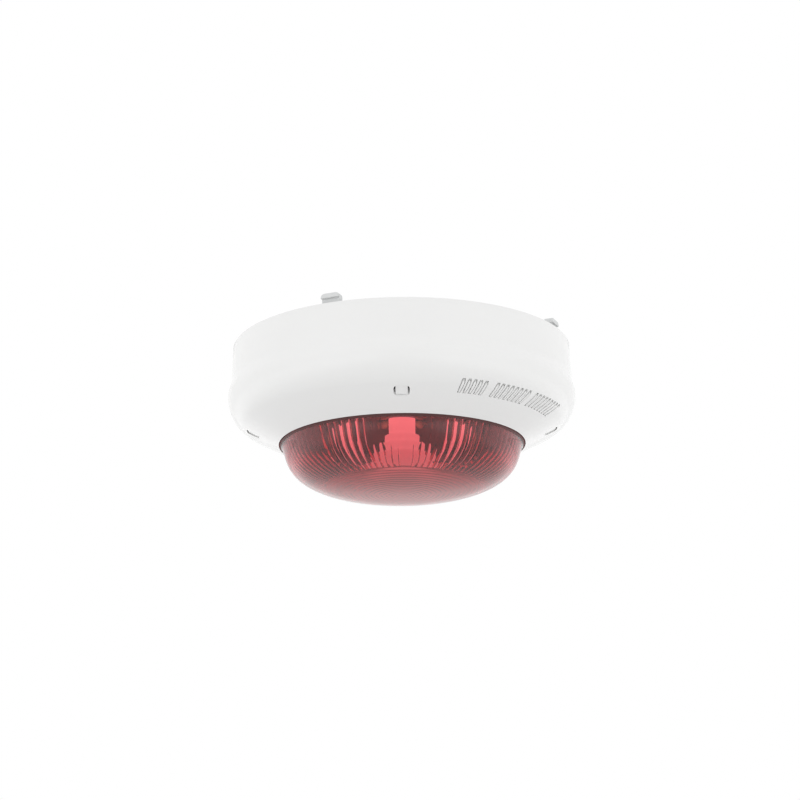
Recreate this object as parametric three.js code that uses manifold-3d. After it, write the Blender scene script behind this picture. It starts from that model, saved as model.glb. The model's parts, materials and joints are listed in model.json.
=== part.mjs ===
// A ceiling-mounted horn strobe head. A white bowl-shaped cover holds a red domed beacon lens. Above the
// lens are the light cone, the strobe LEDs, a piezo sounder in its chamber and the main board, and a grey
// chassis with bayonet lugs closes the back.
//
// Millimetres, +Z towards the ceiling. The origin is the centre of the rear seat, just above the cover's
// rim. Angles run from the front, -Y, towards +X.

import * as THREE from 'three';
import { mergeVertices } from 'three/addons/utils/BufferGeometryUtils.js';
import Module from 'manifold-3d';

const wasm = await Module();
wasm.setup();

// Driving dimensions.
const GAP = 0.3; // between pieces that rest on each other
const QUARTER_TURNS = 4;

const COVER_RIM_R = 58.5;
const COVER_RIM_Z = -0.6;
const COVER_WIDEST_R = 60;
const COVER_STRAIGHT_R = 58.8; // the straight side ends and the flare begins
const COVER_STRAIGHT_Z = -12.5;
const COVER_WIDEST_Z = -17.8;
const COVER_SHOULDER_R = 54.4; // the rounded shoulder meets the sloping underside
const COVER_SHOULDER_Z = -28.2;
const COVER_MOUTH_R = 42.3;
const COVER_MOUTH_Z = -34.45;
const COVER_WALL = 2;
const SEAT_R = 47.4; // outer edge of the lens seat inside the mouth
const SEAT_Z = -30.4;

const WINDOW_R = 51.4; // centre of each catch window in the underside
const WINDOW_WIDTH = 5.2;
const WINDOW_DEPTH = 4.2;
const WINDOW_ROUNDING = 1.4;
const HOOK_SIDE_GAP = 0.65;
const HOOK_END_GAP = 0.35;
const HOOK_RECESS = 0.4;

const LENS_R = 42;
const LENS_TOP_Z = -34.6; // where the dome begins
const LENS_BOTTOM_Z = -52.33;
const LENS_WALL = 2.1;
const LENS_FLANGE_R = 46.8;
const LENS_FLANGE_Z = -29.5;
const LENS_FLANGE_THICKNESS = 2;

const GASKET_THICKNESS = 0.6;
const CLAMP_THICKNESS = 2;
const CLAMP_INNER_R = 42.3;
const CLAMP_OUTER_R = 47.1;
const LENS_SCREW_R = 49.1;

const FLOOR_Z = -19.6; // underside of the horn frame's floor
const FLOOR_THICKNESS = 1.6;
const FRAME_R = 52;
const CHAMBER_R = 20;
const CHAMBER_WALL = 2;
const CHAMBER_TOP_Z = -11;
const PIEZO_LEDGE_Z = -14.3;
const FRAME_POST_R = 46.5; // circle of the four posts
const FRAME_POST_RADIUS = 3.2;

const DISH_TOP_Z = -20.9;
const DISH_THICKNESS = 1.5;
const DISH_R = 39.8;
const DISH_RIM_Z = -31;

const LED_BOARD_R = 16;
const LED_BOARD_THICKNESS = 1.5;
const LED_BOARD_Z = -24; // its underside
const LED_CIRCLE_R = 9;
// Radius of each step of the light cone and the height it reaches down to.
const CONE_STEPS = [
  [4.65, -31.3],
  [5.9, -34.9],
  [7.4, -38.9],
  [10.2, -44],
];

const BOARD_R = 42;
const BOARD_THICKNESS = 1.6;
const BOARD_Z = -8.4; // its underside
const BOARD_TOP_Z = BOARD_Z + BOARD_THICKNESS;
const BOARD_SCREW_R = 36.5;
const BOARD_SCREW_ANGLES = [30, 115, 265];
const PART_CIRCLE_R = 31; // circle of the parts under the main board

const CHASSIS_SEAT_R = 18;
const CHASSIS_TOP_Z = -2.2;
const CHASSIS_THICKNESS = 2;
const CHASSIS_SKIRT_R = 56;
const CHASSIS_SKIRT_WALL = 2.4;
const CHASSIS_SKIRT_Z = -10;
const LUG_ANGLE = -23.7;
const LUG_WIDTH = 6.2;
const LUG_TOP_Z = 3.2;
const LUG_FOOT_Z = 1.5;
const LUG_REACH_R = 57;
const LUG_ROUNDING = 1.3;

const ADDRESS_SWITCH_SIZE = 10;
const ADDRESS_SWITCH_X = 7;
const ADDRESS_SWITCH_Y = 31;
const SWITCH_TOP_Z = -2.9;
const DIAL_R = 3.5;
const TONE_SWITCH_Y = -31;
const TONE_SLIDER_COUNT = 4;
const TONE_SLIDER_PITCH = 2.54;
const TONE_SLIDER_TRAVEL = 1.6;

const COVER_SIDES = 64; // sides of the faceted rounds
const LARGE_SIDES = 36;
const MIDDLE_SIDES = 24;
const SMALL_SIDES = 12;
const SCREW_SIDES = 8;

const radians = THREE.MathUtils.degToRad;

// Materials, one for each kind of surface.
function material(color, roughness, metalness) {
  return new THREE.MeshStandardMaterial({ color, roughness, metalness });
}
const whitePlastic = material(0xebebea, 0.45, 0);
const greyPlastic = material(0xc6c7c8, 0.5, 0);
const redLens = material(0xb4303c, 0.15, 0);
const gasketRubber = material(0x3a1c20, 0.8, 0);
const mirrorCoat = material(0x8f8f92, 0.25, 0.9);
const blackPlastic = material(0x222224, 0.5, 0);
const boardGreen = material(0x1f5a3a, 0.5, 0);
const boardBlack = material(0x1c1c1e, 0.45, 0);
const steel = material(0xb8babd, 0.35, 1);
const brass = material(0xc9a455, 0.35, 1);
const ceramic = material(0xd9d4c8, 0.6, 0);
const copper = material(0xb86a3c, 0.35, 1);
const canAluminium = material(0xc9cbce, 0.3, 1);
const ledYellow = material(0xe6d36a, 0.3, 0);
const switchBlue = material(0x2f5fa8, 0.5, 0);
const switchWhite = material(0xe9e9e6, 0.5, 0);
const ribbonGrey = material(0x9a9ca0, 0.6, 0);

// Solids: three.js geometry in, manifold for the joins and cuts, three.js geometry out.
function solid(geometry) {
  const bare = geometry.clone();
  bare.deleteAttribute('normal');
  bare.deleteAttribute('uv');
  const merged = mergeVertices(bare, 1e-4);
  const corners = merged.index.array;
  const kept = [];
  for (let i = 0; i < corners.length; i += 3) {
    const [a, b, c] = [corners[i], corners[i + 1], corners[i + 2]];
    if (a !== b && b !== c && c !== a) {
      kept.push(a, b, c);
    }
  }
  const mesh = new wasm.Mesh({
    numProp: 3,
    vertProperties: new Float32Array(merged.attributes.position.array),
    triVerts: new Uint32Array(kept),
  });
  return new wasm.Manifold(mesh);
}

function surface(body) {
  const mesh = body.getMesh();
  const geometry = new THREE.BufferGeometry();
  geometry.setAttribute('position', new THREE.BufferAttribute(mesh.vertProperties, 3));
  geometry.setIndex(new THREE.BufferAttribute(mesh.triVerts, 1));
  return geometry;
}

function joined(first, ...others) {
  const body = others.reduce((sum, other) => sum.add(solid(other)), solid(first));
  return surface(body);
}

function cut(first, ...tools) {
  const body = tools.reduce((rest, tool) => rest.subtract(solid(tool)), solid(first));
  return surface(body);
}

// Basic shapes, each at its place with +Z up.
function turned(outline, sides) {
  const points = outline.map((point) => new THREE.Vector2(point.x ?? point[0], point.y ?? point[1]));
  if (THREE.ShapeUtils.area(points) < 0) {
    points.reverse();
  }
  const closed = points[0].x > 0 || points.at(-1).x > 0;
  if (closed) {
    points.push(points[0].clone());
  }
  return new THREE.LatheGeometry(points, sides).rotateX(Math.PI / 2);
}

function ring(innerR, outerR, bottomZ, topZ, sides) {
  const outline = [[innerR, bottomZ], [outerR, bottomZ], [outerR, topZ], [innerR, topZ]];
  return turned(outline, sides);
}

function rod(radius, bottomZ, topZ, sides = SMALL_SIDES) {
  const height = topZ - bottomZ;
  const geometry = new THREE.CylinderGeometry(radius, radius, height, sides);
  return geometry.rotateX(Math.PI / 2).translate(0, 0, bottomZ + height / 2);
}

function block(sizeX, sizeY, bottomZ, topZ) {
  return new THREE.BoxGeometry(sizeX, sizeY, topZ - bottomZ).translate(0, 0, (topZ + bottomZ) / 2);
}

// A flat outline of [radius, height] points, made as thick as width, standing on the front radius.
function radialPlate(outline, width) {
  const shape = new THREE.Shape(outline.map(([radius, height]) => new THREE.Vector2(radius, height)));
  const plate = new THREE.ExtrudeGeometry(shape, { depth: width, bevelEnabled: false });
  return plate.translate(0, 0, -width / 2).rotateX(Math.PI / 2).rotateZ(-Math.PI / 2);
}

function roundedRectangle(sizeX, sizeY, rounding) {
  const [x, y] = [sizeX / 2 - rounding, sizeY / 2 - rounding];
  const shape = new THREE.Shape();
  shape.absarc(x, y, rounding, 0, Math.PI / 2);
  shape.absarc(-x, y, rounding, Math.PI / 2, Math.PI);
  shape.absarc(-x, -y, rounding, Math.PI, 1.5 * Math.PI);
  shape.absarc(x, -y, rounding, 1.5 * Math.PI, 2 * Math.PI);
  return shape;
}

// Moves a piece built around the Z axis out to a radius at an angle from the front.
function placed(geometry, radius, angle) {
  return geometry.translate(0, -radius, 0).rotateZ(radians(angle));
}

// Turns a piece built on the front radius to an angle from the front.
function swung(geometry, angle) {
  return geometry.rotateZ(radians(angle));
}

function quarterAngles(first) {
  return Array.from({ length: QUARTER_TURNS }, (_, i) => first + (i * 360) / QUARTER_TURNS);
}

// Moves an outline sideways, to the left of its direction of travel.
function offset(points, distance) {
  return points.map((point, i) => {
    const before = points[Math.max(i - 1, 0)];
    const after = points[Math.min(i + 1, points.length - 1)];
    const along = new THREE.Vector2().subVectors(after, before).normalize();
    return new THREE.Vector2(point.x - along.y * distance, point.y + along.x * distance);
  });
}

// A pan-head screw, head up, with a cross recess. The underside of its head is at headZ.
function screw(headR, shankR, headZ, headHeight, tipZ) {
  const outline = [
    [0, tipZ],
    [shankR, tipZ + shankR],
    [shankR, headZ],
    [headR, headZ],
    [headR, headZ + headHeight * 0.5],
    [headR * 0.7, headZ + headHeight],
    [0, headZ + headHeight],
  ];
  const slotZ = headZ + headHeight * 0.5;
  const slot = block(headR * 1.1, headR * 0.28, slotZ, headZ + headHeight + 1);
  const crossSlot = slot.clone().rotateZ(Math.PI / 2);
  return cut(turned(outline, SCREW_SIDES), slot, crossSlot);
}

// The same screw, driven in from below.
function raisedScrew(headR, shankR, headZ, headHeight, tipZ) {
  return screw(headR, shankR, -headZ, headHeight, -tipZ).rotateX(Math.PI);
}

// Front cover.
const UNDERSIDE_SLOPE = (COVER_SHOULDER_Z - COVER_MOUTH_Z) / (COVER_SHOULDER_R - COVER_MOUTH_R);

function undersideZ(radius) {
  return COVER_MOUTH_Z + (radius - COVER_MOUTH_R) * UNDERSIDE_SLOPE;
}

function insideZ(radius) {
  return undersideZ(radius) + COVER_WALL * Math.hypot(1, UNDERSIDE_SLOPE);
}

function coverOutline() {
  const path = new THREE.Path();
  path.moveTo(COVER_RIM_R, COVER_RIM_Z);
  path.lineTo(COVER_STRAIGHT_R, COVER_STRAIGHT_Z);
  path.bezierCurveTo(58.85, -14.8, 59.8, -15.6, COVER_WIDEST_R, COVER_WIDEST_Z);
  path.bezierCurveTo(COVER_WIDEST_R, -21.8, 58.3, -26.1, COVER_SHOULDER_R, COVER_SHOULDER_Z);
  const outside = path.getPoints(3);
  const inside = offset(outside, -COVER_WALL).reverse();
  return [
    ...outside,
    [COVER_MOUTH_R, COVER_MOUTH_Z],
    [COVER_MOUTH_R, SEAT_Z],
    [SEAT_R, SEAT_Z],
    [SEAT_R, insideZ(SEAT_R)],
    ...inside,
  ];
}

function catchWindow() {
  const outline = roundedRectangle(WINDOW_WIDTH, WINDOW_DEPTH, WINDOW_ROUNDING);
  const height = 10;
  const options = { depth: height, bevelEnabled: false, curveSegments: 2 };
  return new THREE.ExtrudeGeometry(outline, options).translate(0, 0, undersideZ(WINDOW_R) - height / 2);
}

function frontCover() {
  const shell = turned(coverOutline(), COVER_SIDES);
  const bossTopZ = LENS_FLANGE_Z + LENS_FLANGE_THICKNESS - GAP / 2;
  const bosses = quarterAngles(45).map((angle) => {
    return placed(rod(1.7, insideZ(LENS_SCREW_R) - 1, bossTopZ), LENS_SCREW_R, angle);
  });
  const windows = quarterAngles(0).map((angle) => placed(catchWindow(), WINDOW_R, angle));
  const screwHoles = quarterAngles(45).map((angle) => {
    return placed(rod(1.1, insideZ(LENS_SCREW_R) - 1, bossTopZ + 1), LENS_SCREW_R, angle);
  });
  return cut(joined(shell, ...bosses), ...windows, ...screwHoles);
}

// Lens, its gasket, clamp ring and screws.
function lensOutline() {
  const dome = new THREE.CubicBezierCurve(
    new THREE.Vector2(0, LENS_BOTTOM_Z),
    new THREE.Vector2(45.2, LENS_BOTTOM_Z),
    new THREE.Vector2(38.2, -38),
    new THREE.Vector2(LENS_R, LENS_TOP_Z),
  );
  const outside = dome.getPoints(8);
  const inside = offset(outside, LENS_WALL).reverse();
  inside.at(-1).x = 0;
  const neckInnerR = inside[0].x;
  return [
    ...outside,
    [LENS_R, LENS_FLANGE_Z],
    [LENS_FLANGE_R, LENS_FLANGE_Z],
    [LENS_FLANGE_R, LENS_FLANGE_Z + LENS_FLANGE_THICKNESS],
    [neckInnerR, LENS_FLANGE_Z + LENS_FLANGE_THICKNESS],
    ...inside,
  ];
}

function lensGasket() {
  const bottomZ = SEAT_Z + GAP / 2;
  return ring(LENS_R + GAP, LENS_FLANGE_R - GAP, bottomZ, bottomZ + GASKET_THICKNESS, LARGE_SIDES);
}

const CLAMP_Z = LENS_FLANGE_Z + LENS_FLANGE_THICKNESS + GAP / 2;

function lensClampRing() {
  const topZ = CLAMP_Z + CLAMP_THICKNESS;
  const band = ring(CLAMP_INNER_R, CLAMP_OUTER_R, CLAMP_Z, topZ, LARGE_SIDES);
  const ears = quarterAngles(45).map((angle) => {
    return placed(rod(2.3, CLAMP_Z, topZ), LENS_SCREW_R - 0.3, angle);
  });
  const holes = quarterAngles(45).map((angle) => {
    return placed(rod(1.3, CLAMP_Z - 1, topZ + 1), LENS_SCREW_R, angle);
  });
  return cut(joined(band, ...ears), ...holes);
}

function lensScrew() {
  const headZ = CLAMP_Z + CLAMP_THICKNESS + GAP / 2;
  return screw(1.9, 0.95, headZ, 1.3, insideZ(LENS_SCREW_R) - 0.7);
}

// Horn frame: the sounder's chamber, the floor that carries the beacon, the posts and the hooks.
function frameHook() {
  const innerR = WINDOW_R - WINDOW_DEPTH / 2 + HOOK_END_GAP;
  const outerR = WINDOW_R + WINDOW_DEPTH / 2 - HOOK_END_GAP;
  const rootZ = FLOOR_Z;
  const outline = [
    [innerR, rootZ],
    [outerR, rootZ],
    [outerR, undersideZ(outerR) + HOOK_RECESS],
    [innerR, undersideZ(innerR) + HOOK_RECESS],
  ];
  return radialPlate(outline, WINDOW_WIDTH - 2 * HOOK_SIDE_GAP);
}

function hornFrame() {
  const floorTopZ = FLOOR_Z + FLOOR_THICKNESS;
  const body = turned([
    [0, FLOOR_Z],
    [FRAME_R - 2, FLOOR_Z],
    [FRAME_R - 2, FLOOR_Z - 2.5],
    [FRAME_R, FLOOR_Z - 2.5],
    [FRAME_R, floorTopZ + 2],
    [FRAME_R - 1.8, floorTopZ + 2],
    [FRAME_R - 1.8, floorTopZ],
    [CHAMBER_R + CHAMBER_WALL, floorTopZ],
    [CHAMBER_R + CHAMBER_WALL, CHAMBER_TOP_Z],
    [CHAMBER_R, CHAMBER_TOP_Z],
    [CHAMBER_R, PIEZO_LEDGE_Z],
    [CHAMBER_R - 1.5, PIEZO_LEDGE_Z],
    [CHAMBER_R - 1.5, floorTopZ],
    [0, floorTopZ],
  ], LARGE_SIDES);
  const hooks = quarterAngles(0).map((angle) => swung(frameHook(), angle));
  const postTopZ = CHASSIS_TOP_Z - CHASSIS_THICKNESS - GAP;
  const posts = quarterAngles(45).map((angle) => {
    return placed(rod(FRAME_POST_RADIUS, floorTopZ - 1, postTopZ), FRAME_POST_R, angle);
  });
  const postHoles = quarterAngles(45).map((angle) => {
    return placed(rod(1.6, postTopZ - 9, postTopZ + 1), FRAME_POST_R, angle);
  });
  const ports = quarterAngles(45).map((angle) => {
    return placed(block(8, 6, floorTopZ + 0.5, PIEZO_LEDGE_Z - 0.8), CHAMBER_R, angle);
  });
  const screwHole = rod(1.6, FLOOR_Z - 1, floorTopZ + 1);
  const ribbonSlot = ribbonOpening(RIBBON_OUTER_X, FLOOR_Z - 1, floorTopZ + 1);
  return cut(joined(body, ...hooks, ...posts), ...postHoles, ...ports, screwHole, ribbonSlot);
}

// Piezo sounder.
const PIEZO_Z = PIEZO_LEDGE_Z + GAP / 2;
const PIEZO_THICKNESS = 0.4;
const CERAMIC_Z = PIEZO_Z + PIEZO_THICKNESS + 0.1;
const CERAMIC_THICKNESS = 0.4;

function piezoDisc() {
  return rod(CHAMBER_R - GAP, PIEZO_Z, PIEZO_Z + PIEZO_THICKNESS, MIDDLE_SIDES);
}

function piezoCeramic() {
  return rod(12.5, CERAMIC_Z, CERAMIC_Z + CERAMIC_THICKNESS, MIDDLE_SIDES);
}

function piezoClampRing() {
  const outerR = CHAMBER_R - GAP;
  return ring(outerR - 2, outerR, CERAMIC_Z, CHAMBER_TOP_Z - GAP, MIDDLE_SIDES);
}

// A bent spring strip that reaches from the main board down to a height.
function springContact(footZ) {
  const topZ = BOARD_Z - GAP;
  const strip = 0.35;
  const outline = [
    [0, topZ],
    [0, topZ - strip - 0.8],
    [3.2, footZ],
    [5.2, footZ],
    [5.2, footZ + strip],
    [3.4, footZ + strip],
    [strip, topZ - 1.1],
    [strip, topZ],
  ];
  return radialPlate(outline, 2);
}

// Beacon: dish, LED board, LEDs, light cone and its screw.
function beaconDish() {
  const plateR = 17;
  const bottomZ = DISH_TOP_Z - DISH_THICKNESS;
  const shell = turned([
    [0, bottomZ],
    [plateR, bottomZ],
    [DISH_R - 1.8, DISH_RIM_Z + 1.2],
    [DISH_R - 1.4, DISH_RIM_Z],
    [DISH_R, DISH_RIM_Z],
    [DISH_R - 0.4, DISH_RIM_Z + 2],
    [plateR + 0.5, DISH_TOP_Z],
    [0, DISH_TOP_Z],
  ], LARGE_SIDES);
  const screwHole = rod(1.6, bottomZ - 1, DISH_TOP_Z + 1);
  return cut(shell, screwHole, ribbonOpening(RIBBON_INNER_X, bottomZ - 1, DISH_TOP_Z + 1));
}

function ledBoard() {
  const topZ = LED_BOARD_Z + LED_BOARD_THICKNESS;
  const plate = rod(LED_BOARD_R, LED_BOARD_Z, topZ, MIDDLE_SIDES);
  return cut(plate, rod(1.6, LED_BOARD_Z - 1, topZ + 1));
}

function strobeLed() {
  const topZ = LED_BOARD_Z - GAP / 2;
  const domeR = 1.5;
  const packageHeight = 0.9;
  const base = block(3.5, 3.5, topZ - packageHeight, topZ);
  const lens = new THREE.Path();
  lens.moveTo(0, topZ - packageHeight - domeR);
  lens.quadraticCurveTo(domeR, topZ - packageHeight - domeR, domeR, topZ - packageHeight);
  lens.lineTo(domeR, topZ - packageHeight / 2);
  lens.lineTo(0, topZ - packageHeight / 2);
  return joined(base, turned(lens.getPoints(4), SMALL_SIDES));
}

const CONE_TOP_Z = LED_BOARD_Z - GAP;

function lightCone() {
  const outline = [[0, CONE_TOP_Z]];
  let stepTopZ = CONE_TOP_Z;
  CONE_STEPS.forEach(([radius, bottomZ]) => {
    outline.push([radius, stepTopZ], [radius, bottomZ]);
    stepTopZ = bottomZ;
  });
  outline.push([0, stepTopZ]);
  return cut(turned(outline, MIDDLE_SIDES), rod(1.5, CONE_TOP_Z - 8, CONE_TOP_Z + 1));
}

function coneScrew() {
  return screw(2.8, 1.2, FLOOR_Z + FLOOR_THICKNESS + GAP / 2, 1.6, CONE_TOP_Z - 7);
}

// Ribbon lead between the boards. It drops through the floor and runs inwards above the dish.
const RIBBON_OUTER_X = -26;
const RIBBON_INNER_X = -13;
const RIBBON_WIDTH = 5;
const RIBBON_THICKNESS = 0.5;

function ribbonOpening(x, bottomZ, topZ) {
  return block(3.4, RIBBON_WIDTH + 2, bottomZ, topZ).translate(x, 0, 0);
}

function ledRibbon() {
  const levelZ = (FLOOR_Z + DISH_TOP_Z) / 2;
  const bend = 0.7;
  const route = new THREE.CurvePath();
  const corner = (x, z) => new THREE.Vector3(x, 0, z);
  const outer = corner(RIBBON_OUTER_X, levelZ);
  const inner = corner(RIBBON_INNER_X, levelZ);
  route.add(new THREE.LineCurve3(corner(RIBBON_OUTER_X, RIBBON_SOCKET_Z - GAP), corner(outer.x, levelZ + bend)));
  route.add(new THREE.QuadraticBezierCurve3(corner(outer.x, levelZ + bend), outer, corner(outer.x + bend, levelZ)));
  route.add(new THREE.LineCurve3(corner(outer.x + bend, levelZ), corner(inner.x - bend, levelZ)));
  route.add(new THREE.QuadraticBezierCurve3(corner(inner.x - bend, levelZ), inner, corner(inner.x, levelZ - bend)));
  route.add(new THREE.LineCurve3(corner(inner.x, levelZ - bend), corner(inner.x, DISH_TOP_Z - DISH_THICKNESS)));
  const [x, y] = [RIBBON_WIDTH / 2, RIBBON_THICKNESS / 2];
  const section = new THREE.Shape([
    new THREE.Vector2(-x, -y),
    new THREE.Vector2(x, -y),
    new THREE.Vector2(x, y),
    new THREE.Vector2(-x, y),
  ]);
  return new THREE.ExtrudeGeometry(section, { steps: 40, extrudePath: route, bevelEnabled: false });
}

const RIBBON_SOCKET_Z = -14.4;

function ribbonSocket() {
  return block(3.6, 7.5, RIBBON_SOCKET_Z, BOARD_Z - GAP);
}

// Main board and the parts on it.
function mainBoard() {
  const disc = rod(BOARD_R, BOARD_Z, BOARD_TOP_Z, LARGE_SIDES);
  const holes = BOARD_SCREW_ANGLES.map((angle) => {
    return placed(rod(1.6, BOARD_Z - 1, BOARD_TOP_Z + 1), BOARD_SCREW_R, angle);
  });
  return cut(disc, ...holes);
}

function boardScrew() {
  return raisedScrew(2.7, 1.2, BOARD_Z - GAP / 2, 1.5, CHASSIS_TOP_Z - CHASSIS_THICKNESS + 0.4);
}

function chip(size) {
  return block(size, size, BOARD_Z - GAP - 1.4, BOARD_Z - GAP);
}

function reservoirCapacitor() {
  const topZ = BOARD_Z - GAP;
  const bottomZ = topZ - 8.8;
  return turned([
    [0, bottomZ],
    [4.4, bottomZ],
    [5, bottomZ + 0.6],
    [5, topZ - 2],
    [4.6, topZ - 1.6],
    [5, topZ - 1.2],
    [5, topZ],
    [0, topZ],
  ], SMALL_SIDES);
}

function inductorCore() {
  const topZ = BOARD_Z - GAP;
  return turned([
    [0, topZ - 8],
    [5, topZ - 8],
    [5, topZ - 6.8],
    [2, topZ - 6.8],
    [2, topZ - 1.2],
    [5, topZ - 1.2],
    [5, topZ],
    [0, topZ],
  ], SMALL_SIDES);
}

function inductorWinding() {
  const topZ = BOARD_Z - GAP;
  return ring(2 + GAP, 4.7, topZ - 6.8 + GAP / 2, topZ - 1.2 - GAP / 2, SMALL_SIDES);
}

// Address switches and the tone switch, reached from the back through openings in the chassis.
const DIAL_POCKET_Z = SWITCH_TOP_Z - 1.2;

function addressSwitch() {
  const body = block(ADDRESS_SWITCH_SIZE, ADDRESS_SWITCH_SIZE, BOARD_TOP_Z + GAP, SWITCH_TOP_Z);
  return cut(body, rod(DIAL_R + GAP, DIAL_POCKET_Z, SWITCH_TOP_Z + 1, MIDDLE_SIDES));
}

function addressDial() {
  const topZ = SWITCH_TOP_Z + 0.8;
  const disc = rod(DIAL_R, DIAL_POCKET_Z + 0.2, topZ, MIDDLE_SIDES);
  const slot = block(1.1, DIAL_R * 1.5, topZ - 0.9, topZ + 1);
  const pointer = block(1.7, 0.8, topZ - 0.9, topZ + 1).translate(0, DIAL_R * 0.6, 0);
  return cut(disc, slot, pointer);
}

const SLIDER_WIDTH = 1.2;
const SLIDER_LENGTH = 1.8;
const SLIDER_POCKET_Z = SWITCH_TOP_Z - 1;

function sliderX(i) {
  return (i - (TONE_SLIDER_COUNT - 1) / 2) * TONE_SLIDER_PITCH;
}

function toneSwitch() {
  const sizeX = TONE_SLIDER_COUNT * TONE_SLIDER_PITCH + 1.4;
  const body = block(sizeX, 7.2, BOARD_TOP_Z + GAP, SWITCH_TOP_Z);
  const pocketLength = SLIDER_LENGTH + TONE_SLIDER_TRAVEL + 2 * GAP;
  const pockets = Array.from({ length: TONE_SLIDER_COUNT }, (_, i) => {
    return block(SLIDER_WIDTH + 2 * GAP, pocketLength, SLIDER_POCKET_Z, SWITCH_TOP_Z + 1)
      .translate(sliderX(i), 0, 0);
  });
  return cut(body, ...pockets).translate(0, TONE_SWITCH_Y, 0);
}

// Each slider rests at the far end of its pocket and travels towards the rim.
function toneSlider(i) {
  const button = block(SLIDER_WIDTH, SLIDER_LENGTH, SLIDER_POCKET_Z + 0.2, SWITCH_TOP_Z + 0.5);
  return button.translate(sliderX(i), TONE_SWITCH_Y + TONE_SLIDER_TRAVEL / 2, 0);
}

// Rear chassis with the bayonet lugs.
function bayonetLug() {
  const rootZ = -3;
  const riserR = CHASSIS_SKIRT_R - 2.2;
  const outline = [
    [riserR, rootZ],
    [CHASSIS_SKIRT_R, rootZ],
    [CHASSIS_SKIRT_R, LUG_FOOT_Z],
    [LUG_REACH_R, LUG_FOOT_Z],
    [LUG_REACH_R, LUG_TOP_Z - 0.4],
    [LUG_REACH_R - 0.4, LUG_TOP_Z],
    [riserR, LUG_TOP_Z],
  ];
  const lug = radialPlate(outline, LUG_WIDTH);
  const face = new THREE.Shape();
  const half = LUG_WIDTH / 2;
  face.moveTo(-half, rootZ - 1);
  face.lineTo(half, rootZ - 1);
  face.lineTo(half, LUG_TOP_Z - LUG_ROUNDING);
  face.quadraticCurveTo(half - 0.1, LUG_TOP_Z, half - LUG_ROUNDING, LUG_TOP_Z + 0.001);
  face.lineTo(LUG_ROUNDING - half, LUG_TOP_Z + 0.001);
  face.quadraticCurveTo(0.1 - half, LUG_TOP_Z, -half, LUG_TOP_Z - LUG_ROUNDING);
  const options = { depth: 10, bevelEnabled: false, curveSegments: 3 };
  const front = new THREE.ExtrudeGeometry(face, options).rotateX(Math.PI / 2);
  const rounded = solid(lug).intersect(solid(front.translate(0, -CHASSIS_SKIRT_R + 6, 0)));
  return surface(rounded);
}

const BLADE_ANGLE = 60;
const BLADE_TAIL_R = 39;

function chassisOpenings() {
  const [bottomZ, topZ] = [CHASSIS_TOP_Z - CHASSIS_THICKNESS - 1, CHASSIS_TOP_Z + 1];
  const addressWindow = block(2 * ADDRESS_SWITCH_X + ADDRESS_SWITCH_SIZE + 1, ADDRESS_SWITCH_SIZE + 1, bottomZ, topZ);
  const toneWindow = block(TONE_SLIDER_COUNT * TONE_SLIDER_PITCH + 2.4, 8.2, bottomZ, topZ);
  const tailSlots = quarterAngles(BLADE_ANGLE).map((angle) => {
    return placed(block(4, 1.6, bottomZ, topZ), BLADE_TAIL_R, angle);
  });
  const screwHoles = quarterAngles(45).map((angle) => {
    return placed(rod(1.7, bottomZ, topZ), FRAME_POST_R, angle);
  });
  return [
    addressWindow.translate(0, ADDRESS_SWITCH_Y, 0),
    toneWindow.translate(0, TONE_SWITCH_Y, 0),
    ...tailSlots,
    ...screwHoles,
  ];
}

function rearChassis() {
  const undersideZ = CHASSIS_TOP_Z - CHASSIS_THICKNESS;
  const skirtInnerR = CHASSIS_SKIRT_R - CHASSIS_SKIRT_WALL;
  const plate = turned([
    [0, -CHASSIS_THICKNESS],
    [CHASSIS_SEAT_R - CHASSIS_THICKNESS, -CHASSIS_THICKNESS],
    [CHASSIS_SEAT_R - CHASSIS_THICKNESS, undersideZ],
    [skirtInnerR, undersideZ],
    [skirtInnerR, CHASSIS_SKIRT_Z],
    [CHASSIS_SKIRT_R, CHASSIS_SKIRT_Z],
    [CHASSIS_SKIRT_R, 0],
    [skirtInnerR, 0],
    [skirtInnerR, CHASSIS_TOP_Z],
    [CHASSIS_SEAT_R, CHASSIS_TOP_Z],
    [CHASSIS_SEAT_R, 0],
    [0, 0],
  ], LARGE_SIDES);
  const lugs = quarterAngles(LUG_ANGLE).map((angle) => swung(bayonetLug(), angle));
  const pillars = BOARD_SCREW_ANGLES.map((angle) => {
    return placed(rod(2.7, BOARD_TOP_Z + GAP / 2, undersideZ + 1), BOARD_SCREW_R, angle);
  });
  const pillarHoles = BOARD_SCREW_ANGLES.map((angle) => {
    return placed(rod(1.5, BOARD_TOP_Z - 1, undersideZ + 0.8), BOARD_SCREW_R, angle);
  });
  return cut(joined(plate, ...lugs, ...pillars), ...chassisOpenings(), ...pillarHoles);
}

function contactBlade() {
  const restZ = CHASSIS_TOP_Z + GAP / 2;
  const sheet = 0.6;
  const leaf = radialPlate([
    [42, restZ],
    [42, restZ + sheet],
    [36.5, restZ + sheet],
    [32, 1.2],
    [29.5, 1.2],
    [27.5, 0],
    [28, -0.3],
    [29.8, 0.6],
    [31.8, 0.6],
    [36.3, restZ],
  ], 6);
  const tail = radialPlate([
    [BLADE_TAIL_R - 0.3, BOARD_TOP_Z + GAP],
    [BLADE_TAIL_R + 0.3, BOARD_TOP_Z + GAP],
    [BLADE_TAIL_R + 0.3, restZ + 0.2],
    [BLADE_TAIL_R - 0.3, restZ + 0.2],
  ], 2.6);
  return joined(leaf, tail);
}

function frameScrew() {
  return screw(2.9, 1.3, CHASSIS_TOP_Z + GAP / 2, 1.6, CHASSIS_TOP_Z - 9);
}

// The assembly.
const hornStrobe = new THREE.Group();

function add(name, geometry, look) {
  const mesh = new THREE.Mesh(geometry, look);
  mesh.name = name;
  hornStrobe.add(mesh);
  return mesh;
}

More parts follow.
